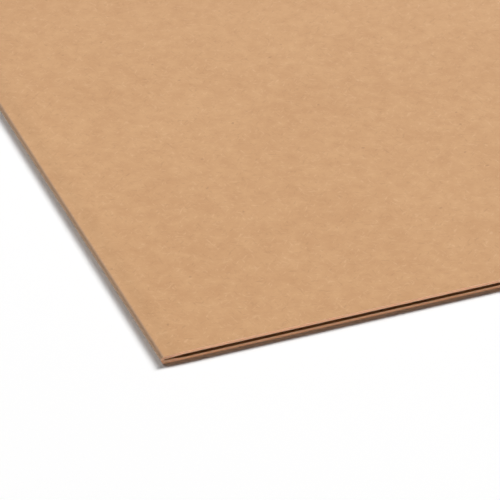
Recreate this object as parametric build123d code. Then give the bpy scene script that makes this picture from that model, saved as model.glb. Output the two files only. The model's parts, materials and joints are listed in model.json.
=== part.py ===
from build123d import *
import os

# A letter-size top-tab file folder of brown kraft card, lying closed on its back leaf.
# One die-cut sheet is creased across its width: the fold runs along X, the tab points to +Y,
# and the front leaf lies over the back leaf. The origin is the middle of the underside.

# Driving dimensions, in millimetres
folder_width = 298.5
folder_depth = 241.3
card_thickness = 0.28
leaf_gap = 0.30

# The fold strip: a pressed crease, and a margin on each side where the card springs apart to the gap
crease_radius = 0.05
spring_length = 2.0

# The index tab, on the left when the folder is read
tab_height = 12.7
tab_inset = 12.0
tab_top_width = 82.0
tab_shoulder_run = 6.0
tab_top_radius = 5.0
tab_foot_radius = 4.0

# The front leaf stops below the foot of the tab, and the free corners of both leaves are rounded
front_undercut = 6.3
back_corner_radius = 5.0
front_corner_radius = 6.0

# The second ply glued on the tab, and its distance from the front leaf's free edge
ply_thickness = 0.28
ply_clearance = 1.5

# Places worked out from the sizes above
left_edge = -folder_width / 2
right_edge = folder_width / 2
fold_face_y = -folder_depth / 2
crease_y = fold_face_y + card_thickness + crease_radius
crease_z = card_thickness + leaf_gap / 2
flat_start_y = crease_y + spring_length
tab_top_y = fold_face_y + folder_depth
tab_foot_y = tab_top_y - tab_height
front_edge_y = tab_foot_y - front_undercut
tab_foot_left = left_edge + tab_inset
tab_top_left = tab_foot_left + tab_shoulder_run
tab_top_right = tab_top_left + tab_top_width
tab_foot_right = tab_top_right + tab_shoulder_run


def across_the_width(section):
    """Draw a section, given in the Y-Z plane, along the whole fold."""
    return extrude(section, amount=folder_width / 2, both=True)


def spring_margin():
    """The card between the crease and the back leaf: two tangent arcs ease it down to lie flat."""
    rise = leaf_gap / 2 - crease_radius
    crease_level = crease_z - crease_radius
    flat_level = crease_z - leaf_gap / 2
    waist = (crease_y + spring_length / 2, crease_level - rise / 2)
    level = (1, 0)
    with BuildSketch(Plane.YZ) as section:
        with BuildLine():
            leaving = TangentArc((crease_y, crease_level), waist, tangent=level)
            landing = TangentArc(waist, (flat_start_y, flat_level), tangent=leaving % 1)
            Line(landing @ 1, (flat_start_y, flat_level - card_thickness))
            low_waist = (waist[0], waist[1] - card_thickness)
            low_start = (crease_y, crease_level - card_thickness)
            under = TangentArc(low_start, low_waist, tangent=level)
            TangentArc(low_waist, (flat_start_y, flat_level - card_thickness), tangent=under % 1)
            Line(low_start, (crease_y, crease_level))
        make_face()
    return across_the_width(section.sketch)


def corners_at(sketch, points):
    """The corners of an outline that lie at the given points."""
    return [sketch.vertices().sort_by_distance(point)[0] for point in points]


def back_outline():
    """Plan of the back leaf from the fold strip to the tab, with its corners rounded."""
    with BuildSketch() as plan:
        with BuildLine():
            Polyline(
                (left_edge, flat_start_y),
                (right_edge, flat_start_y),
                (right_edge, tab_foot_y),
                (tab_foot_right, tab_foot_y),
                (tab_top_right, tab_top_y),
                (tab_top_left, tab_top_y),
                (tab_foot_left, tab_foot_y),
                (left_edge, tab_foot_y),
                close=True,
            )
        make_face()
        feet = [(tab_foot_left, tab_foot_y), (tab_foot_right, tab_foot_y)]
        tops = [(tab_top_left, tab_top_y), (tab_top_right, tab_top_y)]
        ends = [(left_edge, tab_foot_y), (right_edge, tab_foot_y)]
        fillet(corners_at(plan, tops), radius=tab_top_radius)
        fillet(corners_at(plan, feet), radius=tab_foot_radius)
        fillet(corners_at(plan, ends), radius=back_corner_radius)
    return plan.sketch


def front_outline():
    """Plan of the front leaf from the fold strip to its free edge, below the tab."""
    depth = front_edge_y - flat_start_y
    with BuildSketch() as plan:
        with Locations((0, flat_start_y)):
            Rectangle(folder_width, depth, align=(Align.CENTER, Align.MIN))
        free_corners = [(left_edge, front_edge_y), (right_edge, front_edge_y)]
        fillet(corners_at(plan, free_corners), radius=front_corner_radius)
    return plan.sketch


def back_leaf():
    """The lower leaf, flat on the table, with the tab."""
    return extrude(back_outline(), amount=card_thickness)


def front_leaf():
    """The upper leaf, parallel to the lower one, with no tab."""
    return Pos(0, 0, crease_z + leaf_gap / 2) * extrude(front_outline(), amount=card_thickness)


def crease():
    """The pressed bend: half a tube of card, open towards the leaves."""
    outside = crease_radius + card_thickness
    with BuildSketch(Plane.YZ) as section:
        with Locations((crease_y, crease_z)):
            Circle(outside)
            Circle(crease_radius, mode=Mode.SUBTRACT)
            Rectangle(outside, 2 * outside, align=(Align.MIN, Align.CENTER), mode=Mode.SUBTRACT)
    return across_the_width(section.sketch)


def fold():
    """The strip of the sheet that bends: the crease with a spring margin to each leaf."""
    lower_margin = spring_margin()
    upper_margin = mirror(lower_margin, about=Plane.XY.offset(crease_z))
    return crease() + lower_margin + upper_margin


def tab_reinforcement():
    """The second ply of the tab, cut flush with it and kept clear of the front leaf."""
    foot_y = front_edge_y + ply_clearance
    with BuildSketch() as strip:
        with Locations(((tab_foot_left + tab_foot_right) / 2, foot_y)):
            width = tab_foot_right - tab_foot_left
            Rectangle(width, tab_top_y - foot_y, align=(Align.CENTER, Align.MIN))
        add(back_outline(), mode=Mode.INTERSECT)
    return Pos(0, 0, card_thickness) * extrude(strip.sketch, amount=ply_thickness)


os.makedirs("parts", exist_ok=True)
export_step(back_leaf(), "parts/back_leaf.step")
export_step(front_leaf(), "parts/front_leaf.step")
export_step(fold(), "parts/fold.step")
export_step(tab_reinforcement(), "parts/tab_reinforcement.step")
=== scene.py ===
import json
import math

import bmesh
import bpy
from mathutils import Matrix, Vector


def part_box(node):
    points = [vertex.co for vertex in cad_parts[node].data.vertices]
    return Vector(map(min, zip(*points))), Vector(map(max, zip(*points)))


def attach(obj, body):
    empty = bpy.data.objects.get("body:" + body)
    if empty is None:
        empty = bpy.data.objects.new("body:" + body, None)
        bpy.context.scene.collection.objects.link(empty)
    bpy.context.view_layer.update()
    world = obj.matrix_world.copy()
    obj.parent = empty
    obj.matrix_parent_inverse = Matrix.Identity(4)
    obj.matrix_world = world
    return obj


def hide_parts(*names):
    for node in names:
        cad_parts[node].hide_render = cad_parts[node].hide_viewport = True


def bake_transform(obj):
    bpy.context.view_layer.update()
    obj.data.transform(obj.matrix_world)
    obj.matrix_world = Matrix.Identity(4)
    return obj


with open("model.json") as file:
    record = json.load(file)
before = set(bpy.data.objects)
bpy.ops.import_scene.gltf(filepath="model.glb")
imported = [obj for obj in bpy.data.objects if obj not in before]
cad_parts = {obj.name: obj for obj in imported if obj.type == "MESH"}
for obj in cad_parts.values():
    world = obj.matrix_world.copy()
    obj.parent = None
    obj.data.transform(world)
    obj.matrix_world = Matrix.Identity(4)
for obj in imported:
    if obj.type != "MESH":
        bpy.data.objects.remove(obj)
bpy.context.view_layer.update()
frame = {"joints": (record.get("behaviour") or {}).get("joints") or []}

# Back leaf
# The lower panel of the folder: 11 point kraft card, die-cut in one stroke with the index tab on
# its far edge. It lies flat on the table, and the fold strip carries on from its near edge.
mm = 0.001
back_low, back_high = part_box("back_leaf")
tab_height = 12.7 * mm
tab_inset = 12.0 * mm
tab_top_width = 82.0 * mm
tab_shoulder_run = 6.0 * mm
tab_top_radius = 5.0 * mm
tab_foot_radius = 4.0 * mm
back_corner_radius = 5.0 * mm
card_thickness = back_high.z - back_low.z
cut_rim = 0.03 * mm
cut_slant = math.radians(11.5)
rim_steps = 3
corner_steps = 20
hair = 0.001 * mm
square_turn = math.radians(90)

tab_foot_y = back_high.y - tab_height
tab_foot_left = back_low.x + tab_inset
tab_foot_right = tab_foot_left + tab_top_width + 2 * tab_shoulder_run
tab_foot_width = tab_foot_right - tab_foot_left
tab_middle_x = (tab_foot_left + tab_foot_right) / 2
tab_top_left = tab_foot_left + tab_shoulder_run
tab_top_right = tab_foot_right - tab_shoulder_run
shoulder_turn = math.atan2(tab_height, tab_shoulder_run)


def start_sheet(name, low, high):
    """A new flat rectangle between two corners, at the level of the first, open in edit mode."""
    bpy.ops.object.select_all(action="DESELECT")
    middle = ((low.x + high.x) / 2, (low.y + high.y) / 2, low.z)
    bpy.ops.mesh.primitive_plane_add(size=1, location=middle)
    sheet = bpy.context.object
    sheet.name = name
    sheet.scale = (high.x - low.x, high.y - low.y, 1)
    bpy.ops.object.transform_apply(location=True, rotation=True, scale=True)
    bpy.ops.object.mode_set(mode="EDIT")
    return sheet


def pick(sheet, kind, test):
    """Select only the vertices, edges or faces of the open mesh that pass a test."""
    bpy.ops.mesh.select_mode(type=kind)
    bpy.ops.mesh.select_all(action="DESELECT")
    mesh = bmesh.from_edit_mesh(sheet.data)
    for item in {"VERT": mesh.verts, "EDGE": mesh.edges, "FACE": mesh.faces}[kind]:
        if test(item):
            item.select_set(True)
    bmesh.update_edit_mesh(sheet.data)


def near(vertex, x, y):
    """Is a vertex at this place in plan?"""
    return math.hypot(vertex.co.x - x, vertex.co.y - y) < hair


def round_corners(sheet, places, radius, turn):
    """Round the outline's corners at some places in plan, where the outline turns by that angle."""
    pick(sheet, "VERT", lambda v: any(near(v, x, y) for x, y in places))
    bpy.ops.mesh.bevel(
        affect="VERTICES", offset=radius * math.tan(turn / 2), segments=corner_steps, profile=0.5
    )


def is_tab_foot(edge):
    """Does an edge lie along the foot of the tab?"""
    return all(
        abs(v.co.y - tab_foot_y) < hair and tab_foot_left - hair < v.co.x < tab_foot_right + hair
        for v in edge.verts
    )


def raise_tab(sheet):
    """Draw the tab up from its foot in a flat outline, narrower at the top, and round its top."""
    pick(sheet, "EDGE", is_tab_foot)
    bpy.ops.mesh.extrude_region_move(TRANSFORM_OT_translate={"value": (0, tab_height, 0)})
    bpy.ops.transform.resize(
        value=(tab_top_width / tab_foot_width, 1, 1),
        center_override=(tab_middle_x, back_high.y, back_low.z),
    )
    bpy.ops.mesh.select_all(action="SELECT")
    bpy.ops.mesh.dissolve_limited(angle_limit=math.radians(1))
    tops = [(tab_top_left, back_high.y), (tab_top_right, back_high.y)]
    round_corners(sheet, tops, tab_top_radius, shoulder_turn)


def cut_rims(sheet, is_rim, is_cut):
    """Ease the rims of a card, as a sharp die leaves them, give its cut faces a second material slot
    and leave edit mode."""
    pick(sheet, "EDGE", is_rim)
    bpy.ops.mesh.bevel(affect="EDGES", offset=cut_rim, segments=rim_steps, profile=0.5)
    pick(sheet, "FACE", is_cut)
    sheet.data.materials.append(None)
    sheet.data.materials.append(None)
    sheet.active_material_index = 1
    bpy.ops.object.material_slot_assign()
    bpy.ops.object.mode_set(mode="OBJECT")


def give_thickness(sheet, thickness, joined_y=None):
    """Thicken a flat outline upwards and ease its rims. The edge that is joined to the fold stays
    square."""
    pick(sheet, "FACE", lambda f: True)
    bpy.ops.mesh.extrude_region_move(TRANSFORM_OT_translate={"value": (0, 0, thickness)})
    bpy.ops.mesh.select_all(action="SELECT")
    bpy.ops.mesh.normals_make_consistent(inside=False)

    def is_rim(edge):
        a, b = edge.verts
        level = abs(a.co.z - b.co.z) < hair
        joined = joined_y is not None and all(abs(v.co.y - joined_y) < hair for v in edge.verts)
        return level and not joined

    cut_rims(sheet, is_rim, lambda f: abs(f.normal.z) < math.cos(cut_slant))


back_leaf = start_sheet("back_leaf_card", back_low, Vector((back_high.x, tab_foot_y, back_low.z)))
for cut_x in (tab_foot_left, tab_foot_right):
    bpy.ops.mesh.select_all(action="SELECT")
    bpy.ops.mesh.bisect(plane_co=(cut_x, 0, 0), plane_no=(1, 0, 0))
raise_tab(back_leaf)
tab_feet = [(tab_foot_left, tab_foot_y), (tab_foot_right, tab_foot_y)]
far_ends = [(back_low.x, tab_foot_y), (back_high.x, tab_foot_y)]
round_corners(back_leaf, tab_feet, tab_foot_radius, shoulder_turn)
round_corners(back_leaf, far_ends, back_corner_radius, square_turn)
give_thickness(back_leaf, card_thickness, joined_y=back_low.y)


def linear(hex_colour):
    """An sRGB hex colour as the linear RGBA that shaders take."""
    channels = [int(hex_colour[i : i + 2], 16) / 255 for i in (1, 3, 5)]
    return [c / 12.92 if c <= 0.04045 else ((c + 0.055) / 1.055) ** 2.4 for c in channels] + [1]


def node(owner, kind, settings=None, inputs=None, links=None):
    """Add a node to a material or world: its settings, its input values and its links. A link comes
    from a socket, or from the first output of a node."""
    made = owner.node_tree.nodes.new(kind)
    for name, value in (settings or {}).items():
        setattr(made, name, value)
    for name, value in (inputs or {}).items():
        made.inputs[name].default_value = value
    for name, source in (links or {}).items():
        socket = source.outputs[0] if isinstance(source, bpy.types.Node) else source
        owner.node_tree.links.new(socket, made.inputs[name])
    return made


def blank(owner):
    """Switch a material or world to nodes and empty it."""
    owner.use_nodes = True
    owner.node_tree.nodes.clear()
    return owner


# Kraft card, machine-made from unbleached pulp: matt, warm brown, with a soft clouding where the
# pulp lies thicker, short fibres pale and dark lying all ways, and a few specks of bark. Pulp fibres
# are only about 0.04 mm wide, so they are drawn broader to show. Round the outside of the fold the
# colour is drawn a little greyer.
kraft_face = blank(bpy.data.materials.new("kraft_card_face"))
sway_size = 0.9 * mm
sway_reach = 0.5 * mm
fibre_length = 0.85 * mm
fibre_width = 0.2 * mm
mottle_size = 1.4 * mm
cloud_size = 18.0 * mm
cloud_share = 0.5
bark_spacing = 2.8 * mm
tooth_height = 0.02 * mm

place = node(kraft_face, "ShaderNodeTexCoord").outputs["Object"]
sway = node(
    kraft_face, "ShaderNodeTexNoise",
    inputs={"Scale": 1 / sway_size}, links={"Vector": place},
)
bent = node(
    kraft_face, "ShaderNodeVectorMath", {"operation": "MULTIPLY_ADD"},
    inputs={1: (sway_reach, sway_reach, sway_reach)}, links={0: sway.outputs["Color"], 2: place},
)
fibres = []
for fibre_turn in (12, 71, 134):
    laid = node(
        kraft_face, "ShaderNodeMapping", {"vector_type": "TEXTURE"},
        inputs={
            "Rotation": (0, 0, math.radians(fibre_turn)),
            "Scale": (fibre_length, fibre_width, fibre_length),
        },
        links={"Vector": bent},
    )
    fibre = node(
        kraft_face, "ShaderNodeTexNoise",
        inputs={"Scale": 1, "Detail": 1}, links={"Vector": laid},
    )
    fibres.append(fibre)
palest = darkest = relief = fibres[0]
for fibre in fibres[1:]:
    palest, darkest, relief = [
        node(kraft_face, "ShaderNodeMath", {"operation": operation}, links={0: below, 1: fibre})
        for operation, below in (("MAXIMUM", palest), ("MINIMUM", darkest), ("ADD", relief))
    ]
mottle = node(
    kraft_face, "ShaderNodeTexNoise",
    inputs={"Scale": 1 / mottle_size, "Detail": 3}, links={"Vector": place},
)
cloud = node(
    kraft_face, "ShaderNodeTexNoise",
    inputs={"Scale": 1 / cloud_size, "Detail": 3}, links={"Vector": place},
)
clouded = node(
    kraft_face, "ShaderNodeMath", {"operation": "MULTIPLY_ADD"},
    inputs={1: cloud_share}, links={0: cloud, 2: mottle},
)
pulp = node(
    kraft_face, "ShaderNodeMapRange", {"interpolation_type": "SMOOTHSTEP"},
    inputs={"From Min": 0.25, "From Max": 1.25}, links={"Value": clouded},
)
card_colour = node(
    kraft_face, "ShaderNodeMix", {"data_type": "RGBA"},
    inputs={6: linear("#C39366"), 7: linear("#D1A375")}, links={0: pulp},
)
bark = node(
    kraft_face, "ShaderNodeTexVoronoi",
    inputs={"Scale": 1 / bark_spacing}, links={"Vector": bent},
)
fold_greying = node(kraft_face, "ShaderNodeAttribute", {"attribute_name": "crease_nearness"}).outputs["Fac"]
for pattern, start, full, share, colour in (
    (palest, 0.62, 0.82, 0.31, "#E6BF97"),
    (darkest, 0.38, 0.18, 0.27, "#A1764C"),
    (bark, 0.06, 0.03, 0.35, "#8F6640"),
    (fold_greying, 0.97, 1.12, 0.6, "#C2A187"),
):
    laid_over = node(
        kraft_face, "ShaderNodeMapRange", {"interpolation_type": "SMOOTHSTEP"},
        inputs={"From Min": start, "From Max": full, "To Max": share}, links={"Value": pattern},
    )
    card_colour = node(
        kraft_face, "ShaderNodeMix", {"data_type": "RGBA"},
        inputs={7: linear(colour)}, links={0: laid_over, 6: card_colour.outputs[2]},
    )
tooth = node(
    kraft_face, "ShaderNodeBump",
    inputs={"Strength": 0.2, "Distance": tooth_height}, links={"Height": relief},
)
kraft_shader = node(
    kraft_face, "ShaderNodeBsdfPrincipled",
    inputs={
        "Roughness": 0.85, "IOR": 1.45, "Specular IOR Level": 0.3,
        "Sheen Weight": 0.3, "Sheen Roughness": 0.4,
    },
    links={"Base Color": card_colour.outputs[2], "Normal": tooth},
)
node(kraft_face, "ShaderNodeOutputMaterial", links={"Surface": kraft_shader})

# Cut edge of the same card, where the die sheared the fibres: rougher than the pressed faces, in
# layers along the sheet, and some light gets through. The real layers are finer, so they are drawn
# thicker to show. Its colour is painted paler than the faces, a painted highlight for the light that
# falls on the cut edges. Near the crease the strip's cut ends are painted duller, as painted shade.
kraft_cut = blank(bpy.data.materials.new("kraft_card_cut_edge"))
layer_length = 0.5 * mm
layer_height = 0.06 * mm
glow_depth = 0.15 * mm

cut_place = node(kraft_cut, "ShaderNodeTexCoord").outputs["Object"]
cut_layers = node(
    kraft_cut, "ShaderNodeMapping", {"vector_type": "TEXTURE"},
    inputs={"Scale": (layer_length, layer_length, layer_height)}, links={"Vector": cut_place},
)
sheared = node(
    kraft_cut, "ShaderNodeTexNoise",
    inputs={"Scale": 1, "Detail": 2}, links={"Vector": cut_layers},
)
# Painted highlight: the edge colour is painted paler than the faces, for the light on the cut edges.
painted_pale_edge = node(
    kraft_cut, "ShaderNodeMix", {"data_type": "RGBA"},
    inputs={6: linear("#F1B893"), 7: linear("#FED2B3")}, links={0: sheared},
)
# Painted shade: near the crease the cut ends are painted duller and darker, for the shade at the
# fold's end.
crease_end_shade = node(kraft_cut, "ShaderNodeAttribute", {"attribute_name": "crease_nearness"}).outputs["Fac"]
cut_colour = node(
    kraft_cut, "ShaderNodeMix", {"data_type": "RGBA"},
    inputs={7: linear("#D7AC90")}, links={0: crease_end_shade, 6: painted_pale_edge.outputs[2]},
)
cut_grain = node(
    kraft_cut, "ShaderNodeBump",
    inputs={"Strength": 0.4, "Distance": tooth_height}, links={"Height": sheared},
)
cut_shader = node(
    kraft_cut, "ShaderNodeBsdfPrincipled",
    inputs={
        "Roughness": 0.95, "IOR": 1.45, "Specular IOR Level": 0.2,
        "Subsurface Weight": 0.7, "Subsurface Radius": (1, 1, 1), "Subsurface Scale": glow_depth,
    },
    links={"Base Color": cut_colour.outputs[2], "Normal": cut_grain},
)
node(kraft_cut, "ShaderNodeOutputMaterial", links={"Surface": cut_shader})


def finish_card(piece):
    """Give a piece of card its two finishes, for the faces and the cut edges."""
    piece.data.materials[0] = kraft_face
    piece.data.materials[1] = kraft_cut


finish_card(back_leaf)
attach(back_leaf, "back")
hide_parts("back_leaf")

# Tab reinforcement
# A second ply of the same card, glued on the front of the tab and trimmed flush with it in the
# die, so that the tab stands up to thumbing. It ends just above the front leaf's free edge.
ply_low, ply_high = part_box("tab_reinforcement")
ply_thickness = ply_high.z - ply_low.z
tab_ply = start_sheet("tab_reinforcement_ply", ply_low, Vector((ply_high.x, tab_foot_y, ply_low.z)))
raise_tab(tab_ply)
give_thickness(tab_ply, ply_thickness)
finish_card(tab_ply)
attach(tab_ply, "back")
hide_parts("tab_reinforcement")

# Fold
# The strip of the sheet that was creased and pressed over: a tight bend with a margin on each side
# where the springy card eases apart to the width of the gap. On the real folder it bends when the
# folder opens.
fold_low, fold_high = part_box("fold")
hinge = frame["joints"][0]
crease = Vector(hinge["pos_m"])
crease_outside = crease.y - fold_low.y
crease_inside = crease_outside - card_thickness
spring_length = fold_high.y - crease.y
leaf_gap = fold_high.z - fold_low.z - 2 * card_thickness
spring_rise = leaf_gap / 2 - crease_inside
margin_steps = 12
crease_steps = 20
fold_pieces_across = 60
smooth_under = math.radians(12)
squarely = 0.9
hardly = 0.1
crease_nearness_reach = 1.5 * mm


def ease(share):
    """Height of the margin's two tangent arcs, from 0 at the leaf to 1 at the crease."""
    return 2 * share**2 if share < 0.5 else 1 - 2 * (1 - share) ** 2


bpy.ops.object.select_all(action="DESELECT")
bpy.ops.mesh.primitive_grid_add(
    x_subdivisions=fold_pieces_across, y_subdivisions=margin_steps, size=1,
    location=(0, crease.y + spring_length / 2, fold_low.z + card_thickness / 2),
)
fold = bpy.context.object
fold.name = "fold_strip"
fold.scale = (fold_high.x - fold_low.x, spring_length, 1)
bpy.ops.object.transform_apply(location=True, rotation=True, scale=True)
for vertex in fold.data.vertices:
    share = (crease.y + spring_length - vertex.co.y) / spring_length
    vertex.co.z += spring_rise * ease(share)
bpy.ops.object.mode_set(mode="EDIT")


def at_crease(edge):
    """Does an edge lie where the margin meets the bend?"""
    return all(abs(v.co.y - crease.y) < hair for v in edge.verts)


pick(fold, "EDGE", at_crease)
bpy.ops.mesh.spin(steps=crease_steps, angle=math.pi / 2, center=crease, axis=(1, 0, 0))
bpy.ops.mesh.select_all(action="SELECT")
bpy.ops.mesh.duplicate()
bpy.ops.transform.resize(value=(1, 1, -1), center_override=crease)
bpy.ops.mesh.select_all(action="SELECT")
bpy.ops.mesh.remove_doubles(threshold=hair)
bpy.ops.mesh.normals_make_consistent(inside=False)
bpy.ops.object.mode_set(mode="OBJECT")
card_wall = fold.modifiers.new("card", "SOLIDIFY")
card_wall.thickness = card_thickness
card_wall.offset = 0
bpy.ops.object.modifier_apply(modifier=card_wall.name)

# The pulp that is crushed inside the crease swells, so the strip's underside stays flat on the table.
# The strip is drawn down by its rise there, and less and less towards its upper side.
for vertex in fold.data.vertices:
    share = min((crease.y + spring_length - vertex.co.y) / spring_length, 1)
    rise = spring_rise * ease(share)
    depth = (fold_low.z + card_thickness + rise - vertex.co.z) / card_thickness
    vertex.co.z = max(vertex.co.z - rise * min(max(depth, 0), 1), fold_low.z)
bpy.ops.object.mode_set(mode="EDIT")


def is_joined_to_leaf(face):
    """Is a face of the strip one that meets a leaf?"""
    at_leaf = face.calc_center_median().y > crease.y + spring_length - hair
    return at_leaf and face.normal.y > squarely


def is_fold_rim(edge):
    """Does an edge run round one of the strip's two cut ends?"""
    ends = [f for f in edge.link_faces if abs(f.normal.x) > squarely]
    walls = [f for f in edge.link_faces if abs(f.normal.x) < hardly and not is_joined_to_leaf(f)]
    return len(ends) == 1 and len(walls) == 1


cut_rims(fold, is_fold_rim, lambda f: abs(f.normal.x) > math.sin(cut_slant))
bpy.ops.object.shade_smooth_by_angle(angle=smooth_under)

# How near each spot is to the crease: 1 at the crease, more round the outside of the bend, 0 at the
# leaves. It places the painted shade on the strip's cut ends and the greyer colour round the fold.
crease_nearness_share = fold.data.attributes.new("crease_nearness", "FLOAT", "POINT")
for vertex in fold.data.vertices:
    away = (vertex.co.y - crease.y) / crease_nearness_reach
    crease_nearness_share.data[vertex.index].value = max(1 - away, 0)
finish_card(fold)
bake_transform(fold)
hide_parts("fold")

# Front leaf
# The upper panel of the same sheet, cut shorter than the back so that the tab shows above it, with
# its free corners rounded in the die. It lies parallel to the back leaf, a little way above it.
front_low, front_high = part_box("front_leaf")
front_corner_radius = 6.0 * mm
front_leaf = start_sheet("front_leaf_card", front_low, front_high)
free_corners = [(front_low.x, front_high.y), (front_high.x, front_high.y)]
round_corners(front_leaf, free_corners, front_corner_radius, square_turn)
give_thickness(front_leaf, front_high.z - front_low.z, joined_y=front_low.y)
finish_card(front_leaf)
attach(front_leaf, "front")
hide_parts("front_leaf")

# Table
# A plain white board under the folder. It keeps the soft shadow, and most of the light on the cut
# edges that face the camera is thrown back from it.
table_clearance = 0.02 * mm
table_size = 6.0
bpy.ops.object.select_all(action="DESELECT")
bpy.ops.mesh.primitive_plane_add(size=table_size, location=(0, 0, -table_clearance))
table = bpy.context.object
table.name = "table"
white_board = blank(bpy.data.materials.new("white_board"))
board = node(white_board, "ShaderNodeBsdfDiffuse", inputs={"Color": linear("#FFFFFF")})
node(white_board, "ShaderNodeOutputMaterial", links={"Surface": board})
table.data.materials.append(white_board)

# Light
# A row of three softboxes behind on the right, the middle one strongest, a broad one behind on the
# left, a low, warm reflector by the camera and a dim white room. Together they light a level white
# surface to just about white.
photographed_corner = Vector((front_high.x, fold_low.y, front_high.z))


def softbox(name, place, facing, wide, high, share, lit_side, tint="#FFFFFF"):
    """A softbox at a place seen from the corner. It gives a share of the full light to a surface
    there with that outward side: its power grows with the square of its distance, and with the slant
    at which its light leaves and lands."""
    bpy.ops.object.light_add(type="AREA", location=photographed_corner + place)
    lamp = bpy.context.object
    lamp.name = name
    lamp.rotation_euler = facing.to_track_quat("-Z", "Y").to_euler()
    lamp.data.shape = "RECTANGLE"
    lamp.data.size = wide
    lamp.data.size_y = high
    lamp.data.color = linear(tint)[:3]
    leaving = -place.normalized().dot(facing.normalized())
    landing = place.normalized().dot(lit_side)
    lamp.data.energy = share * (math.pi * place.length) ** 2 / (leaving * landing)


up = Vector((0, 0, 1))
towards_camera = Vector((1, 0, 0))
row_x = -3.8
row_height = 5.0
row_box_height = 1.7
row_facing = Vector((1, 0, -1))
for row_y, wide, share in ((2.85, 2.2, 0.223), (5.3, 2.7, 0.446), (7.3, 1.35, 0.107)):
    row_place = Vector((row_x, row_y, row_height))
    softbox("row_box", row_place, row_facing, wide, row_box_height, share, up)
left_place = Vector((-2.9, -2.1, 3.7))
softbox("left_box", left_place, -left_place, wide=3.0, high=3.0, share=0.22, lit_side=up)
reflector_place = Vector((3.0, -0.3, 0.07))
softbox(
    "low_reflector", reflector_place, -reflector_place,
    wide=2.0, high=0.12, share=0.28, lit_side=towards_camera, tint="#FFECD6",
)

# The room itself is shown white, and gives only a little light.
room_share = 0.01
room = blank(bpy.data.worlds.new("white_room"))
bpy.context.scene.world = room
room_rays = node(room, "ShaderNodeLightPath").outputs
shown = room_rays["Is Camera Ray"]
for kind in ("Is Glossy Ray", "Is Transmission Ray"):
    shown = node(
        room, "ShaderNodeMath", {"operation": "MAXIMUM"},
        links={0: shown, 1: room_rays[kind]},
    )
room_level = node(
    room, "ShaderNodeMapRange",
    inputs={"To Min": room_share, "To Max": 1}, links={"Value": shown},
)
room_light = node(
    room, "ShaderNodeBackground",
    inputs={"Color": linear("#FFFFFF")}, links={"Strength": room_level},
)
node(room, "ShaderNodeOutputWorld", links={"Surface": room_light})

# Camera
# A long lens close to the corner, held level on the right of the folder and looking down on it, so
# that the fold runs off to the upper left and the cut side edge to the right.
aim = Vector((136.42, -107.34, 0.86)) * mm
camera_azimuth = math.radians(68.34)
camera_elevation = math.radians(32.95)
camera_distance = 252.7 * mm
back_to_camera = Vector((
    math.sin(camera_azimuth) * math.cos(camera_elevation),
    -math.cos(camera_azimuth) * math.cos(camera_elevation),
    math.sin(camera_elevation),
))
bpy.ops.object.camera_add(location=aim + back_to_camera * camera_distance)
camera = bpy.context.object
camera.rotation_euler = (-back_to_camera).to_track_quat("-Z", "Y").to_euler()
camera.data.lens = 200
camera.data.sensor_width = 36
camera.data.clip_start = 10 * mm
bpy.context.scene.camera = camera
bpy.context.scene.view_settings.view_transform = "Standard"
